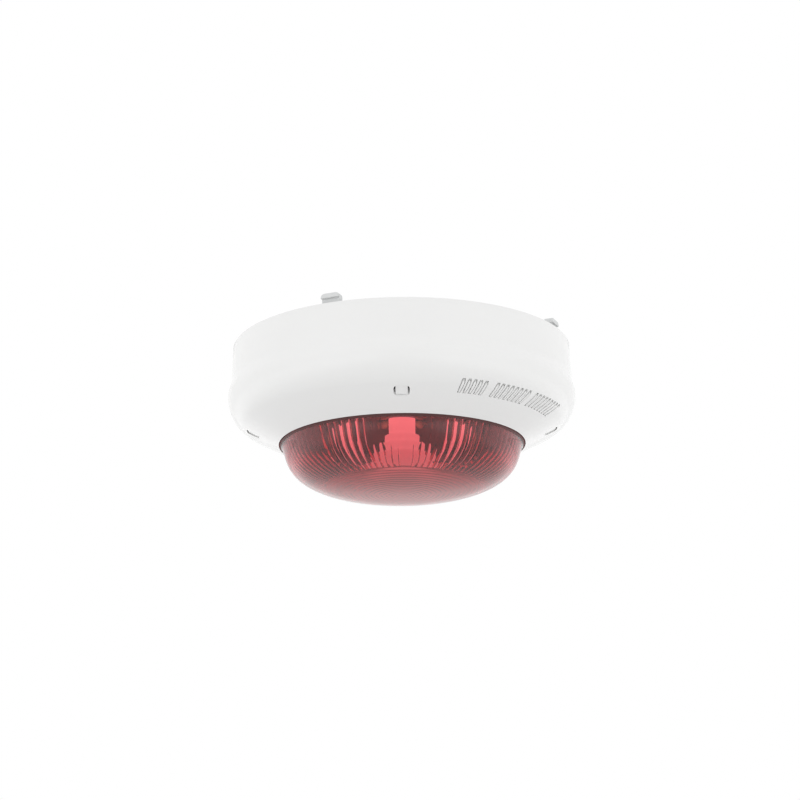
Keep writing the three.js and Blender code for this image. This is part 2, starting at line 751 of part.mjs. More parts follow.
// Adds one copy of a piece at each angle, at a radius from the axis.
function addRound(name, makeGeometry, look, radius, angles) {
  angles.forEach((angle, i) => {
    const mesh = add(angles.length > 1 ? `${name}_${i + 1}` : name, makeGeometry(), look);
    mesh.position.set(radius * Math.sin(radians(angle)), -radius * Math.cos(radians(angle)), 0);
    mesh.rotation.z = radians(angle);
  });
}

add('front_cover', frontCover(), whitePlastic);
add('lens', turned(lensOutline(), LARGE_SIDES), redLens);
add('lens_gasket', lensGasket(), gasketRubber);
add('lens_clamp_ring', lensClampRing(), blackPlastic);
addRound('lens_screw', lensScrew, steel, LENS_SCREW_R, quarterAngles(45));

add('horn_frame', hornFrame(), whitePlastic);
add('piezo_disc', piezoDisc(), brass);
add('piezo_ceramic', piezoCeramic(), ceramic);
add('piezo_clamp_ring', piezoClampRing(), blackPlastic);
addRound('ceramic_contact', () => springContact(CERAMIC_Z + CERAMIC_THICKNESS + 0.1), brass, 0, [0]);
addRound('disc_contact', () => springContact(PIEZO_Z + PIEZO_THICKNESS + 0.1), brass, 11, [150]);

add('beacon_dish', beaconDish(), mirrorCoat);
add('led_board', ledBoard(), boardBlack);
addRound('strobe_led', strobeLed, ledYellow, LED_CIRCLE_R, quarterAngles(45));
add('light_cone', lightCone(), whitePlastic);
add('cone_screw', coneScrew(), steel);
add('led_ribbon', ledRibbon(), ribbonGrey);
add('ribbon_socket', ribbonSocket(), switchWhite).position.x = RIBBON_OUTER_X;

add('main_board', mainBoard(), boardGreen);
addRound('board_screw', boardScrew, steel, BOARD_SCREW_R, BOARD_SCREW_ANGLES);
addRound('microcontroller', () => chip(9), blackPlastic, PART_CIRCLE_R, [225]);
addRound('driver_chip', () => chip(5), blackPlastic, PART_CIRCLE_R, [320]);
addRound('reservoir_capacitor', reservoirCapacitor, canAluminium, PART_CIRCLE_R, [62, 86]);
addRound('inductor_core', inductorCore, boardBlack, PART_CIRCLE_R, [140]);
addRound('inductor_winding', inductorWinding, copper, PART_CIRCLE_R, [140]);

[['tens', -ADDRESS_SWITCH_X], ['units', ADDRESS_SWITCH_X]].forEach(([digit, x]) => {
  add(`address_switch_${digit}`, addressSwitch(), blackPlastic).position.set(x, ADDRESS_SWITCH_Y, 0);
  add(`address_dial_${digit}`, addressDial(), switchWhite).position.set(x, ADDRESS_SWITCH_Y, 0);
});
add('tone_switch', toneSwitch(), switchBlue);
for (let i = 0; i < TONE_SLIDER_COUNT; i += 1) {
  add(`tone_slider_${i + 1}`, toneSlider(i), switchWhite);
}

add('rear_chassis', rearChassis(), greyPlastic);
addRound('contact_blade', contactBlade, brass, 0, quarterAngles(BLADE_ANGLE));
addRound('frame_screw', frameScrew, steel, FRAME_POST_R, quarterAngles(45));

export default hornStrobe;
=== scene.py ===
"""Looks for a ceiling-mounted horn strobe head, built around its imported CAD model.

Metres, +Z towards the ceiling, -Y is the front. Angles round the head run from the front towards +X.
The head is seen from below, so the lens and the cover's underside face the camera.
"""

import json
import math

import bmesh
import bpy
from mathutils import Matrix, Vector


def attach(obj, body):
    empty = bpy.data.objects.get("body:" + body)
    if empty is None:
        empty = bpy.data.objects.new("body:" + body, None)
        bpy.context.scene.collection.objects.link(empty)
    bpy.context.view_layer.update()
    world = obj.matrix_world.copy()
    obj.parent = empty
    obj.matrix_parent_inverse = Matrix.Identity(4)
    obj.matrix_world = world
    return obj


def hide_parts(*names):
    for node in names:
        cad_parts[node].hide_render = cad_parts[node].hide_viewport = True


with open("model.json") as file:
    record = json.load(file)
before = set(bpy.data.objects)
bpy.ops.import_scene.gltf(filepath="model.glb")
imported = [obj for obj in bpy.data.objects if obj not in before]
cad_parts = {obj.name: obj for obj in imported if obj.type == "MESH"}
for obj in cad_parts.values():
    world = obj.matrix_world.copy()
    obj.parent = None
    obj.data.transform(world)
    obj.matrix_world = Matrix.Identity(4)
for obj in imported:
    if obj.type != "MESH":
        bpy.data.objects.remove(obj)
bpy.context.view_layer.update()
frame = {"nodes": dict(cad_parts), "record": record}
NODES = frame["nodes"]

MM = 0.001
HEAD = "head"


# ---------------------------------------------------------------------------------------------------
# Camera, lights and floor
# ---------------------------------------------------------------------------------------------------
VIEW_BELOW = math.radians(16.05)
VIEW_DISTANCE = 603.4 * MM
VIEW_HEIGHT = -17.96 * MM
VIEW_ROLL = math.radians(-0.56)
SENSOR_WIDTH = 36
FOCAL_LENGTH = 78.3
SHIFT_X = -0.0022
LIGHT_REACH = 0.7
LIGHT_HEIGHT = 0.1
LIGHT_SIZE = 1.2
LIGHT_POWER = 0.35
FLOOR_SIZE = 40
FLOOR_Z = -0.5


def make_camera():
    data = bpy.data.cameras.new("camera")
    data.sensor_width = SENSOR_WIDTH
    data.lens = FOCAL_LENGTH
    data.shift_x = SHIFT_X
    camera = bpy.data.objects.new("camera", data)
    back = Vector((0, -math.cos(VIEW_BELOW), -math.sin(VIEW_BELOW)))
    camera.location = Vector((0, 0, VIEW_HEIGHT)) + back * VIEW_DISTANCE
    aim = (-back).to_track_quat("-Z", "Y").to_matrix().to_4x4()
    roll = Matrix.Rotation(VIEW_ROLL, 4, "Z")
    camera.matrix_world = Matrix.Translation(camera.location) @ aim @ roll
    bpy.context.scene.collection.objects.link(camera)
    bpy.context.scene.camera = camera


def make_light(name, place, target):
    """A wide, weak disc that faces a target."""
    data = bpy.data.lights.new(name, "AREA")
    data.shape = "DISK"
    data.size = LIGHT_SIZE
    data.energy = LIGHT_POWER
    light = bpy.data.objects.new(name, data)
    aim = (Vector(target) - Vector(place)).to_track_quat("-Z", "Y").to_matrix().to_4x4()
    light.matrix_world = Matrix.Translation(Vector(place)) @ aim
    bpy.context.scene.collection.objects.link(light)


def make_surroundings():
    """White all round, a light on each side of the camera, and the floor below the head."""
    scene = bpy.context.scene
    scene.view_settings.view_transform = "Standard"
    world = bpy.data.worlds.new("studio")
    scene.world = world
    world.use_nodes = True
    sky = world.node_tree.nodes["Background"]
    sky.inputs["Color"].default_value = (1, 1, 1, 1)
    sky.inputs["Strength"].default_value = 1.0
    middle = (0, 0, VIEW_HEIGHT)
    make_light("left_light", (-LIGHT_REACH, -LIGHT_REACH, LIGHT_HEIGHT), middle)
    make_light("right_light", (LIGHT_REACH, -LIGHT_REACH, LIGHT_HEIGHT), middle)
    bpy.ops.mesh.primitive_plane_add(size=FLOOR_SIZE, location=(0, 0, FLOOR_Z))
    floor = bpy.context.object
    floor.name = "floor"
    floor.data.materials.append(pale_floor())


# ---------------------------------------------------------------------------------------------------
# Materials
# ---------------------------------------------------------------------------------------------------
CLOUD_SCALE = 60
LENS_CLOUD_SCALE = 300
FLOOR_CLOUD_SCALE = 40
GRAIN_SCALE = 900
GRAIN_DEPTH = 0.4 * MM
COAT_ROUGHNESS = 0.15
FLOOR_TONE = 0.78
FLOOR_MOTTLE = 0.005
FLOOR_FADE = (0.9, 1.6)
FLOOR_FADE_RISE = 0.16
FLOOR_GLOW = (0.3, 1.0)
FLOOR_GLOW_STRENGTH = 0.3
POLYCARBONATE_IOR = 1.58
THROUGH_LENS = (0.95, 0.6, 0.62, 1)
# Painted glow on the cone, which is no lamp: its emission strength at the foot and at the top.
CONE_PAINTED_GLOW_FOOT, CONE_PAINTED_GLOW_TOP = 0.5, 1.15


def new_material(name):
    """A material with its node tree, its Principled shader, and a helper that adds nodes."""
    material = bpy.data.materials.new(name)
    material.use_nodes = True
    tree = material.node_tree
    shader = tree.nodes["Principled BSDF"]

    def node(kind, **values):
        made = tree.nodes.new(kind)
        for key, value in values.items():
            if hasattr(made, key):
                setattr(made, key, value)
            else:
                made.inputs[key.replace("_", " ")].default_value = value
        return made

    return material, tree, shader, node


def speckled(name, colour, roughness, spread=0.04, bump=0.02, metallic=0.0, coat=0.0):
    """A moulded or finished surface: slight tone changes, uneven gloss and a fine grain."""
    material, tree, shader, node = new_material(name)
    link = tree.links.new
    place = node("ShaderNodeTexCoord")
    cloud = node("ShaderNodeTexNoise", Scale=CLOUD_SCALE, Detail=4)
    grain = node("ShaderNodeTexNoise", Scale=GRAIN_SCALE, Detail=3)
    link(place.outputs["Object"], cloud.inputs["Vector"])
    link(place.outputs["Object"], grain.inputs["Vector"])
    tone = node("ShaderNodeMapRange", To_Min=1 - spread, To_Max=1 + spread * 0.5)
    link(cloud.outputs["Fac"], tone.inputs["Value"])
    tint = node("ShaderNodeVectorMath", operation="SCALE")
    tint.inputs[0].default_value = colour
    link(tone.outputs["Result"], tint.inputs["Scale"])
    link(tint.outputs["Vector"], shader.inputs["Base Color"])
    gloss = node("ShaderNodeMapRange", To_Min=roughness - 0.05, To_Max=roughness + 0.06)
    link(grain.outputs["Fac"], gloss.inputs["Value"])
    link(gloss.outputs["Result"], shader.inputs["Roughness"])
    relief = node("ShaderNodeBump", Strength=bump, Distance=GRAIN_DEPTH)
    link(grain.outputs["Fac"], relief.inputs["Height"])
    link(relief.outputs["Normal"], shader.inputs["Normal"])
    shader.inputs["Metallic"].default_value = metallic
    shader.inputs["Coat Weight"].default_value = coat
    shader.inputs["Coat Roughness"].default_value = COAT_ROUGHNESS
    return material


def pale_floor():
    """Pale studio floor that brightens with distance until it meets the white surroundings.

    It glows a little on the left and right, as the reflecting boards of a product studio do.
    """
    material, tree, shader, node = new_material("pale_floor")
    link = tree.links.new
    place = node("ShaderNodeTexCoord")
    cloud = node("ShaderNodeTexNoise", Scale=FLOOR_CLOUD_SCALE, Detail=2)
    link(place.outputs["Object"], cloud.inputs["Vector"])
    tone = node("ShaderNodeMapRange", To_Min=FLOOR_TONE - FLOOR_MOTTLE, To_Max=FLOOR_TONE + FLOOR_MOTTLE)
    link(cloud.outputs["Fac"], tone.inputs["Value"])
    reach = node("ShaderNodeVectorMath", operation="LENGTH")
    link(place.outputs["Object"], reach.inputs[0])
    near, far = FLOOR_FADE
    fade = node("ShaderNodeMapRange", From_Min=near, From_Max=far, To_Min=0, To_Max=FLOOR_FADE_RISE)
    link(reach.outputs["Value"], fade.inputs["Value"])
    total = node("ShaderNodeMath", operation="ADD")
    link(tone.outputs["Result"], total.inputs[0])
    link(fade.outputs["Result"], total.inputs[1])
    link(total.outputs["Value"], shader.inputs["Base Color"])
    shader.inputs["Roughness"].default_value = 0.6
    split = node("ShaderNodeSeparateXYZ")
    link(place.outputs["Object"], split.inputs["Vector"])
    side = node("ShaderNodeMath", operation="ABSOLUTE")
    link(split.outputs["X"], side.inputs[0])
    near, far = FLOOR_GLOW
    glow = node("ShaderNodeMapRange", From_Min=near, From_Max=far, To_Min=0, To_Max=FLOOR_GLOW_STRENGTH)
    link(side.outputs["Value"], glow.inputs["Value"])
    link(glow.outputs["Result"], shader.inputs["Emission Strength"])
    shader.inputs["Emission Color"].default_value = (1, 1, 1, 1)
    return material


def lens_red(name, colour, low_gloss, high_gloss, clarity=1.0):
    """Red polycarbonate. Light on its way to what lies behind the lens passes straight through."""
    material, tree, shader, node = new_material(name)
    link = tree.links.new
    place = node("ShaderNodeTexCoord")
    cloud = node("ShaderNodeTexNoise", Scale=LENS_CLOUD_SCALE, Detail=2)
    link(place.outputs["Object"], cloud.inputs["Vector"])
    gloss = node("ShaderNodeMapRange", To_Min=low_gloss, To_Max=high_gloss)
    link(cloud.outputs["Fac"], gloss.inputs["Value"])
    link(gloss.outputs["Result"], shader.inputs["Roughness"])
    shader.inputs["Base Color"].default_value = (*colour, 1)
    shader.inputs["Transmission Weight"].default_value = clarity
    shader.inputs["IOR"].default_value = POLYCARBONATE_IOR
    clear = node("ShaderNodeBsdfTransparent")
    clear.inputs["Color"].default_value = THROUGH_LENS
    path = node("ShaderNodeLightPath")
    mix = node("ShaderNodeMixShader")
    link(path.outputs["Is Shadow Ray"], mix.inputs["Fac"])
    link(shader.outputs["BSDF"], mix.inputs[1])
    link(clear.outputs["BSDF"], mix.inputs[2])
    link(mix.outputs["Shader"], tree.nodes["Material Output"].inputs["Surface"])
    return material


def cone_white():
    """White diffusing plastic with a painted glow, less towards its foot. The cone is no lamp, and the glow
    stands in for light on it.
    """
    material = speckled("cone_painted_glow", (0.88, 0.88, 0.87), 0.4, spread=0.02, bump=0.02)
    tree = material.node_tree
    shader = tree.nodes["Principled BSDF"]
    place = tree.nodes.new("ShaderNodeTexCoord")
    split = tree.nodes.new("ShaderNodeSeparateXYZ")
    fade = tree.nodes.new("ShaderNodeMapRange")
    fade.inputs["From Min"].default_value = CONE_STEPS[-1][1] * MM
    fade.inputs["From Max"].default_value = CONE_TOP_Z * MM
    fade.inputs["To Min"].default_value = CONE_PAINTED_GLOW_FOOT
    fade.inputs["To Max"].default_value = CONE_PAINTED_GLOW_TOP
    tree.links.new(place.outputs["Object"], split.inputs["Vector"])
    tree.links.new(split.outputs["Z"], fade.inputs["Value"])
    # Painted glow, from weak at the foot to strong at the top.
    tree.links.new(fade.outputs["Result"], shader.inputs["Emission Strength"])
    shader.inputs["Emission Color"].default_value = (1, 0.98, 0.96, 1)
    return material


# ---------------------------------------------------------------------------------------------------
# Mesh helpers
# ---------------------------------------------------------------------------------------------------
def finished(name, bm, material, node=(), body=HEAD, sharp=35):
    """Turns a bmesh into a piece that rides on a body and stands for CAD nodes."""
    bmesh.ops.remove_doubles(bm, verts=bm.verts, dist=1e-7)
    bmesh.ops.recalc_face_normals(bm, faces=bm.faces)
    mesh = bpy.data.meshes.new(name)
    bm.to_mesh(mesh)
    bm.free()
    mesh.polygons.foreach_set("use_smooth", [True] * len(mesh.polygons))
    mesh.set_sharp_from_angle(angle=math.radians(sharp))
    piece = bpy.data.objects.new(name, mesh)
    bpy.context.scene.collection.objects.link(piece)
    mesh.materials.append(material)
    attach(piece, body)
    if node:
        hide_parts(*node)
    return piece


def curve_points(p0, p1, p2, p3, steps):
    """Points along a cubic curve, the first left out."""
    points = []
    for i in range(1, steps + 1):
        t = i / steps
        u = 1 - t
        points.append(tuple(
            u ** 3 * a + 3 * u * u * t * b + 3 * u * t * t * c + t ** 3 * d
            for a, b, c, d in zip(p0, p1, p2, p3)
        ))
    return points


def row_of(bm, points):
    return [bm.verts.new((x * MM, y * MM, z * MM)) for x, y, z in points]


def round_row(bm, radius, height, steps):
    """A ring of vertices at a radius and height in millimetres, or one vertex on the axis."""
    if radius < 1e-6:
        return row_of(bm, [(0, 0, height)])
    points = []
    for k in range(steps):
        turn = 2 * math.pi * k / steps
        points.append((radius * math.sin(turn), -radius * math.cos(turn), height))
    return row_of(bm, points)


def join_rows(bm, one, two):
    """Faces between two rings. One ring may have a whole number of times more vertices than the other."""
    if len(one) > len(two):
        one, two = two, one
    if len(one) == 1 and len(two) == 1:
        return
    if len(one) == 1:
        for k in range(len(two)):
            bm.faces.new((one[0], two[k], two[(k + 1) % len(two)]))
        return
    times = len(two) // len(one)
    for k in range(len(one)):
        near = [two[(k * times + i) % len(two)] for i in range(times + 1)]
        bm.faces.new((one[(k + 1) % len(one)], one[k], *near))


def join_all(bm, rows, closed=False):
    for one, two in zip(rows, rows[1:]):
        join_rows(bm, one, two)
    if closed:
        join_rows(bm, rows[-1], rows[0])


def turned(bm, outline, steps):
    """Revolves an outline of (radius, height) in millimetres. It runs from axis to axis, or is closed."""
    rows = [round_row(bm, radius, height, steps) for radius, height in outline]
    on_axis = outline[0][0] < 1e-6 and outline[-1][0] < 1e-6
    join_all(bm, rows, closed=not on_axis)


def offset(points, distance):
    """Moves an outline sideways, to the left of its direction of travel."""
    moved = []
    for i, (r, z) in enumerate(points):
        before = points[max(i - 1, 0)]
        after = points[min(i + 1, len(points) - 1)]
        dr, dz = after[0] - before[0], after[1] - before[1]
        length = math.hypot(dr, dz)
        moved.append((r - dz / length * distance, z + dr / length * distance))
    return moved


def rounded(points, radius, steps=4):
    """A closed outline with rounded corners. The radius is one number, or a list with one for each corner."""
    radii = radius if isinstance(radius, (list, tuple)) else [radius] * len(points)
    made = []
    for i, (x, y) in enumerate(points):
        here = Vector((x, y))
        back = Vector(points[i - 1]) - here
        ahead = Vector(points[(i + 1) % len(points)]) - here
        reach = min(radii[i], back.length * 0.45, ahead.length * 0.45)
        if reach < 1e-6:
            made.append((x, y))
            continue
        start, end = here + back.normalized() * reach, here + ahead.normalized() * reach
        for k in range(steps + 1):
            t = k / steps
            point = start * (1 - t) ** 2 + here * 2 * t * (1 - t) + end * t ** 2
            made.append((point.x, point.y))
    return made


def prism(bm, outline, low, high, matrix=Matrix()):
    """A flat outline of (x, y) in millimetres, raised from low to high, then placed by a matrix in metres."""
    bottom = row_of(bm, [(x, y, low) for x, y in outline])
    top = row_of(bm, [(x, y, high) for x, y in outline])
    bm.faces.new(list(reversed(bottom)))
    bm.faces.new(top)
    join_rows(bm, bottom, top)
    bmesh.ops.transform(bm, matrix=matrix, verts=bottom + top)


def rectangle(width, depth):
    x, y = width / 2, depth / 2
    return [(-x, -y), (x, -y), (x, y), (-x, y)]


def circle(radius, steps):
    turns = [2 * math.pi * k / steps for k in range(steps)]
    return [(radius * math.cos(turn), radius * math.sin(turn)) for turn in turns]


def around(angle):
    return Matrix.Rotation(math.radians(angle), 4, "Z")


def shift(x, y, z):
    return Matrix.Translation((x * MM, y * MM, z * MM))


def at(angle, radius):
    """The place at an angle round the head and a distance from its axis, turned to face outwards."""
    return around(angle) @ shift(0, -radius, 0)


def cut(piece, bm, operation="DIFFERENCE"):
    """Cuts a piece with a bmesh, or joins it, and applies the result."""
    bmesh.ops.recalc_face_normals(bm, faces=bm.faces)
    mesh = bpy.data.meshes.new("tool")
    bm.to_mesh(mesh)
    bm.free()
    tool = bpy.data.objects.new("tool", mesh)
    bpy.context.scene.collection.objects.link(tool)
    change = piece.modifiers.new("cut", "BOOLEAN")
    change.operation = operation
    change.solver = "EXACT"
    change.object = tool
    apply_modifiers(piece)
    bpy.data.objects.remove(tool)


def apply_modifiers(piece):
    graph = bpy.context.evaluated_depsgraph_get()
    made = bpy.data.meshes.new_from_object(piece.evaluated_get(graph), depsgraph=graph)
    old = piece.data
    piece.modifiers.clear()
    piece.data = made
    made.name = old.name


def smooth(piece, angle):
    piece.data.polygons.foreach_set("use_smooth", [True] * len(piece.data.polygons))
    piece.data.set_sharp_from_angle(angle=math.radians(angle))


def softened(name, node, material, width, body=HEAD):
    """A copy of a CAD node with its flat facets merged and its edges rounded by a width in millimetres."""
    bm = bmesh.new()
    bm.from_mesh(NODES[node].data)
    bmesh.ops.transform(bm, matrix=NODES[node].matrix_world, verts=bm.verts)
    bmesh.ops.remove_doubles(bm, verts=bm.verts, dist=1e-6)
    bmesh.ops.dissolve_limit(bm, angle_limit=math.radians(1), verts=bm.verts, edges=bm.edges)
    corner = math.radians(35)
    edges = [edge for edge in bm.edges if edge.is_manifold and edge.calc_face_angle() > corner]
    width *= MM
    bmesh.ops.bevel(bm, geom=edges, offset=width, segments=2, profile=0.5, affect="EDGES", clamp_overlap=True)
    finished(name, bm, material, [node], body)


# ---------------------------------------------------------------------------------------------------
# Front cover
# ---------------------------------------------------------------------------------------------------
COVER_STEPS = 256
COVER_WALL = 2
RIM_R, RIM_Z = 58.5, -0.6
MOUTH_R, MOUTH_Z = 42.3, -34.45
SHOULDER_R, SHOULDER_Z = 54.4, -28.2
SLOPE = (SHOULDER_Z - MOUTH_Z) / (SHOULDER_R - MOUTH_R)
WINDOW_R = 51.4
WINDOW = (5.2, 4.2)
WINDOW_CORNER = 1.4
WINDOW_CUT = (-36, -24)
SEAT_INSIDE_R, SEAT_INSIDE_Z = 47.4, -30.4


def underside(radius):
    return MOUTH_Z + (radius - MOUTH_R) * SLOPE


def shoulder():
    return curve_points((60, -17.8), (60, -21.8), (58.3, -26.1), (SHOULDER_R, SHOULDER_Z), 16)


def cover_outside():
    flare = curve_points((58.8, -12.5), (58.85, -14.8), (59.8, -15.6), (60, -17.8), 12)
    return [(RIM_R + 0.01, RIM_Z - 0.4), (58.65, -6.5), (58.8, -12.5), *flare, *shoulder()]


def cover_outline():
    outside = cover_outside()
    inside = offset(outside[1:], -COVER_WALL)
    slope_r = [SHOULDER_R + (MOUTH_R - SHOULDER_R) * share for share in (0.35, 0.7, 0.96)]
    slope = [(r, underside(r)) for r in slope_r]
    lip = [(MOUTH_R + 0.1, MOUTH_Z - 0.02), (MOUTH_R, MOUTH_Z + 0.25)]
    above_slope = underside(SEAT_INSIDE_R) + COVER_WALL * math.hypot(1, SLOPE)
    seat = [(MOUTH_R, SEAT_INSIDE_Z), (SEAT_INSIDE_R, SEAT_INSIDE_Z), (SEAT_INSIDE_R, above_slope)]
    rim = [(56.5, RIM_Z - 0.3), (56.8, RIM_Z), (58.1, RIM_Z), (58.38, RIM_Z - 0.12)]
    return [*outside, *slope, *lip, *seat, *reversed(inside), *rim]


# Plain raised ribs in three groups across the shoulder, each in a shallow slot, where a real head has a
# moulded notice.
RIB_GROUPS = [(20.5, 5), (33.2, 8), (51.4, 9)]
RIB_PITCH = 2.05
RIB_HALF_WIDTH = 0.36
RIB_HEIGHT = 0.12
RIB_INNER_R, RIB_OUTER_R = 51.9, 56.8
SLOT_HALF_WIDTH = 0.68
SLOT_DEPTH = 0.75
SLOT_INNER_R, SLOT_OUTER_R = 51.6, 57.3
SLOT_CLEARANCE = 0.6
RIB_ROOT = 0.1
RIB_END_TAPER = 0.15


def rib_angles():
    return [first + i * RIB_PITCH for first, count in RIB_GROUPS for i in range(count)]


def rib_path(inner_r, outer_r):
    """Points of the underside and the shoulder that a rib follows, from its inner to its outer end."""
    flat = [(inner_r, underside(inner_r)), (53.8, underside(53.8))]
    curve = [(r, z) for r, z in reversed(shoulder()) if r < outer_r]
    return [*flat, *curve]


def add_rib(bm, path, angle, half_width, depth, height):
    """A bar along a path, from a depth in the cover's wall to a height outside it. Its ends are narrower."""
    rows = []
    low, top = offset(path, depth), offset(path, -height)
    for j in range(len(path)):
        x = half_width - (RIB_END_TAPER if j in (0, len(path) - 1) else 0)
        section = [(-x, low[j]), (x, low[j]), (x, top[j]), (-x, top[j])]
        rows.append(row_of(bm, [(side, -r, z) for side, (r, z) in section]))
    join_all(bm, rows)
    bm.faces.new(rows[0])
    bm.faces.new(rows[-1])
    bmesh.ops.transform(bm, matrix=around(angle), verts=[v for row in rows for v in row])


def make_ribs():
    """Each rib is rooted a little below the bottom of its slot."""
    bm = bmesh.new()
    path = rib_path(RIB_INNER_R, RIB_OUTER_R)
    for angle in rib_angles():
        add_rib(bm, path, angle, RIB_HALF_WIDTH, SLOT_DEPTH + RIB_ROOT, RIB_HEIGHT)
    finished("raised_ribs", bm, WHITE)


def make_cover():
    bm = bmesh.new()
    turned(bm, cover_outline(), COVER_STEPS)
    cover = finished("cover_shell", bm, WHITE, ["front_cover"])
    windows = bmesh.new()
    for i in range(4):
        prism(windows, rounded(rectangle(*WINDOW), WINDOW_CORNER), *WINDOW_CUT, at(90 * i, WINDOW_R))
    cut(cover, windows)
    slots = bmesh.new()
    path = rib_path(SLOT_INNER_R, SLOT_OUTER_R)
    for angle in rib_angles():
        add_rib(slots, path, angle, SLOT_HALF_WIDTH, SLOT_DEPTH, SLOT_CLEARANCE)
    cut(cover, slots)
    smooth(cover, 30)


# ---------------------------------------------------------------------------------------------------
# Lens
# ---------------------------------------------------------------------------------------------------
LENS_R, LENS_Z = 42, -34.6
LENS_BOTTOM_Z = -52.33
LENS_WALL = 2.1
# The dome is one cubic curve, which two points pull: one under the mouth and one at the bottom corner.
DOME_WAIST = (38.2, -38)
DOME_CORNER = (45.2, LENS_BOTTOM_Z)
DOME_STEPS = 60
ROUND_STEPS = 180
FLUTES = 90
# Ribs part the flutes. Each table gives an angle from the front or back, half a rib's width as a share of
# the pitch, and its height: the first table high on the wall and the second low down. The wall is clear at
# the front and the back, the ribs are strong on both sides of that, and faint at the left and right.
HIGH_RIBS = [(0, 0.1, 0), (12, 0.1, 0), (13, 0.3, 0.12), (19, 0.3, 0.12), (22, 0.3, 0.84),
             (42, 0.3, 0.84), (45, 0.2, 0.05), (90, 0.2, 0.05)]
LOW_RIBS = [(0, 0.1, 0), (4, 0.1, 0), (5, 0.1, 0.35), (50, 0.1, 0.3), (90, 0.1, 0.2)]
RIB_FADE_Z = (-46.5, -42)
RIB_SHOULDER = 0.58
RIB_TOP_Z, RIB_END_Z = -31, -30.2
FLANGE = [(40.6, -27.5), (46.5, -27.5), (46.8, -27.8), (46.8, -29.3), (46.6, -29.5), (LENS_R, -29.5)]
# Painted shade: the root of the dome is coloured dark for the shadow that the mouth of the cover casts on it.
SHADED_ROOT_R, SHADED_ROOT_Z = 41.5, LENS_Z + 1
DISC_R = 26.3
DISC_EDGE = 0.8
DISC_RINGS = 15
RING_STEPS = 6
RING_DEPTH = 0.03


def dome():
    start, end = (LENS_R, LENS_Z), (0, LENS_BOTTOM_Z)
    return [start, *curve_points(start, DOME_WAIST, DOME_CORNER, end, DOME_STEPS)]


def height_at(points, radius):
    """The height of an outline at a radius, between its two nearest points."""
    ordered = sorted(points)
    for (r0, z0), (r1, z1) in zip(ordered, ordered[1:]):
        if radius <= r1:
            return z0 + (z1 - z0) * (radius - r0) / (r1 - r0)
    return ordered[-1][1]


def between(table, place):
    """The other values of a table's rows, read off at a place between two rows."""
    for one, two in zip(table, table[1:]):
        if place <= two[0]:
            share = (place - one[0]) / (two[0] - one[0])
            return [a + (b - a) * share for a, b in zip(one[1:], two[1:])]
    return table[-1][1:]


def wall_rib(k, height):
    """Half width and height of the rib in the middle of flute k, at a height on the wall."""
    turn = 360 * (k + 0.5) / FLUTES % 180
    turn = min(turn, 180 - turn)
    low, high = RIB_FADE_Z
    share = min(1, max(0, (height - low) / (high - low)))
    return [a + (b - a) * share for a, b in zip(between(LOW_RIBS, turn), between(HIGH_RIBS, turn))]


def fluted_row(bm, radius, height, fade):
    """A ring on the inside of the wall with a rib across each flute, scaled by the fade."""
    points = []
    for k in range(FLUTES):
        half, rise = wall_rib(k, height)
        rise *= fade
        section = [(0.5, rise), (0.5 + half / 2, rise * RIB_SHOULDER), (0.5 + half, 0), (1, 0),
                   (1.5 - half, 0), (1.5 - half / 2, rise * RIB_SHOULDER)]
        for share, depth in section:
            turn = 2 * math.pi * (k + share) / FLUTES
            here = radius - depth
            points.append((here * math.sin(turn), -here * math.cos(turn), height))
    return row_of(bm, points)


def disc_rows(bm, inner):
    """The inside of the lens's bottom, with low ring-shaped waves."""
    disc = [(r, z) for r, z in inner if r < DISC_R]
    rows = []
    steps = DISC_RINGS * RING_STEPS
    for i in range(steps + 1):
        radius = (DISC_R - DISC_EDGE) * i / steps
        wave = RING_DEPTH * (1 - math.cos(2 * math.pi * i / RING_STEPS))
        rows.append(round_row(bm, radius, height_at(disc, radius) + wave, ROUND_STEPS))
    return rows


def make_lens():
    """One closed shell: flange, smooth outside, waved bottom, then the fluted wall back up to the flange."""
    bm = bmesh.new()
    rows = []
    outside = dome()
    for r, z in [*FLANGE, (LENS_R, LENS_Z + 0.3), *outside]:
        rows.append(round_row(bm, r, z, ROUND_STEPS))
    inner = offset(outside, -LENS_WALL)
    rows += disc_rows(bm, inner)
    wall = [(r, z) for r, z in inner if r >= DISC_R]
    edge_r, edge_z = wall[-1]
    rows.append(round_row(bm, edge_r - 0.3, edge_z + 0.3, ROUND_STEPS))
    for i, (r, z) in enumerate(reversed(wall)):
        rows.append(fluted_row(bm, r, z, min(1, 0.4 + i / 6)))
    top_r = wall[0][0]
    rows.append(fluted_row(bm, top_r, RIB_TOP_Z, 1))
    rows.append(fluted_row(bm, top_r, RIB_END_Z, 0))
    join_all(bm, rows, closed=True)
    lens = finished("red_lens", bm, LENS, ["lens"], sharp=30)
    lens.data.materials.append(FROSTED)
    lens.data.materials.append(FINISHES["lens_root_painted_shade"])
    frosted, painted_shade = 1, 2
    for face in lens.data.polygons:
        radius, height = math.hypot(*face.center.xy) / MM, face.center.z / MM
        if radius < DISC_R and face.normal.z > 0.5:
            face.material_index = frosted
        # Painted shade on the dome's root, under the cover's mouth.
        elif radius > SHADED_ROOT_R and height < SHADED_ROOT_Z:
            face.material_index = painted_shade


# ---------------------------------------------------------------------------------------------------
# Beacon
# ---------------------------------------------------------------------------------------------------
CONE_TOP_Z = -24.3
CONE_STEPS = [(4.65, -31.3), (5.9, -34.9), (7.4, -38.9), (10.2, -44)]
DISH = [(17, -22.4), (38, -29.8), (38.4, -31), (39.8, -31),
        (39.4, -29), (17.5, -20.9), (1.7, -20.9), (1.7, -22.4)]
LED_R = 9
LED_WIDTH = 3.5
LED_THICKNESS = 0.9
LED_TOP_Z = -24.15
LED_DOME_R = 1.5
LED_DOME_RISE = 1.7


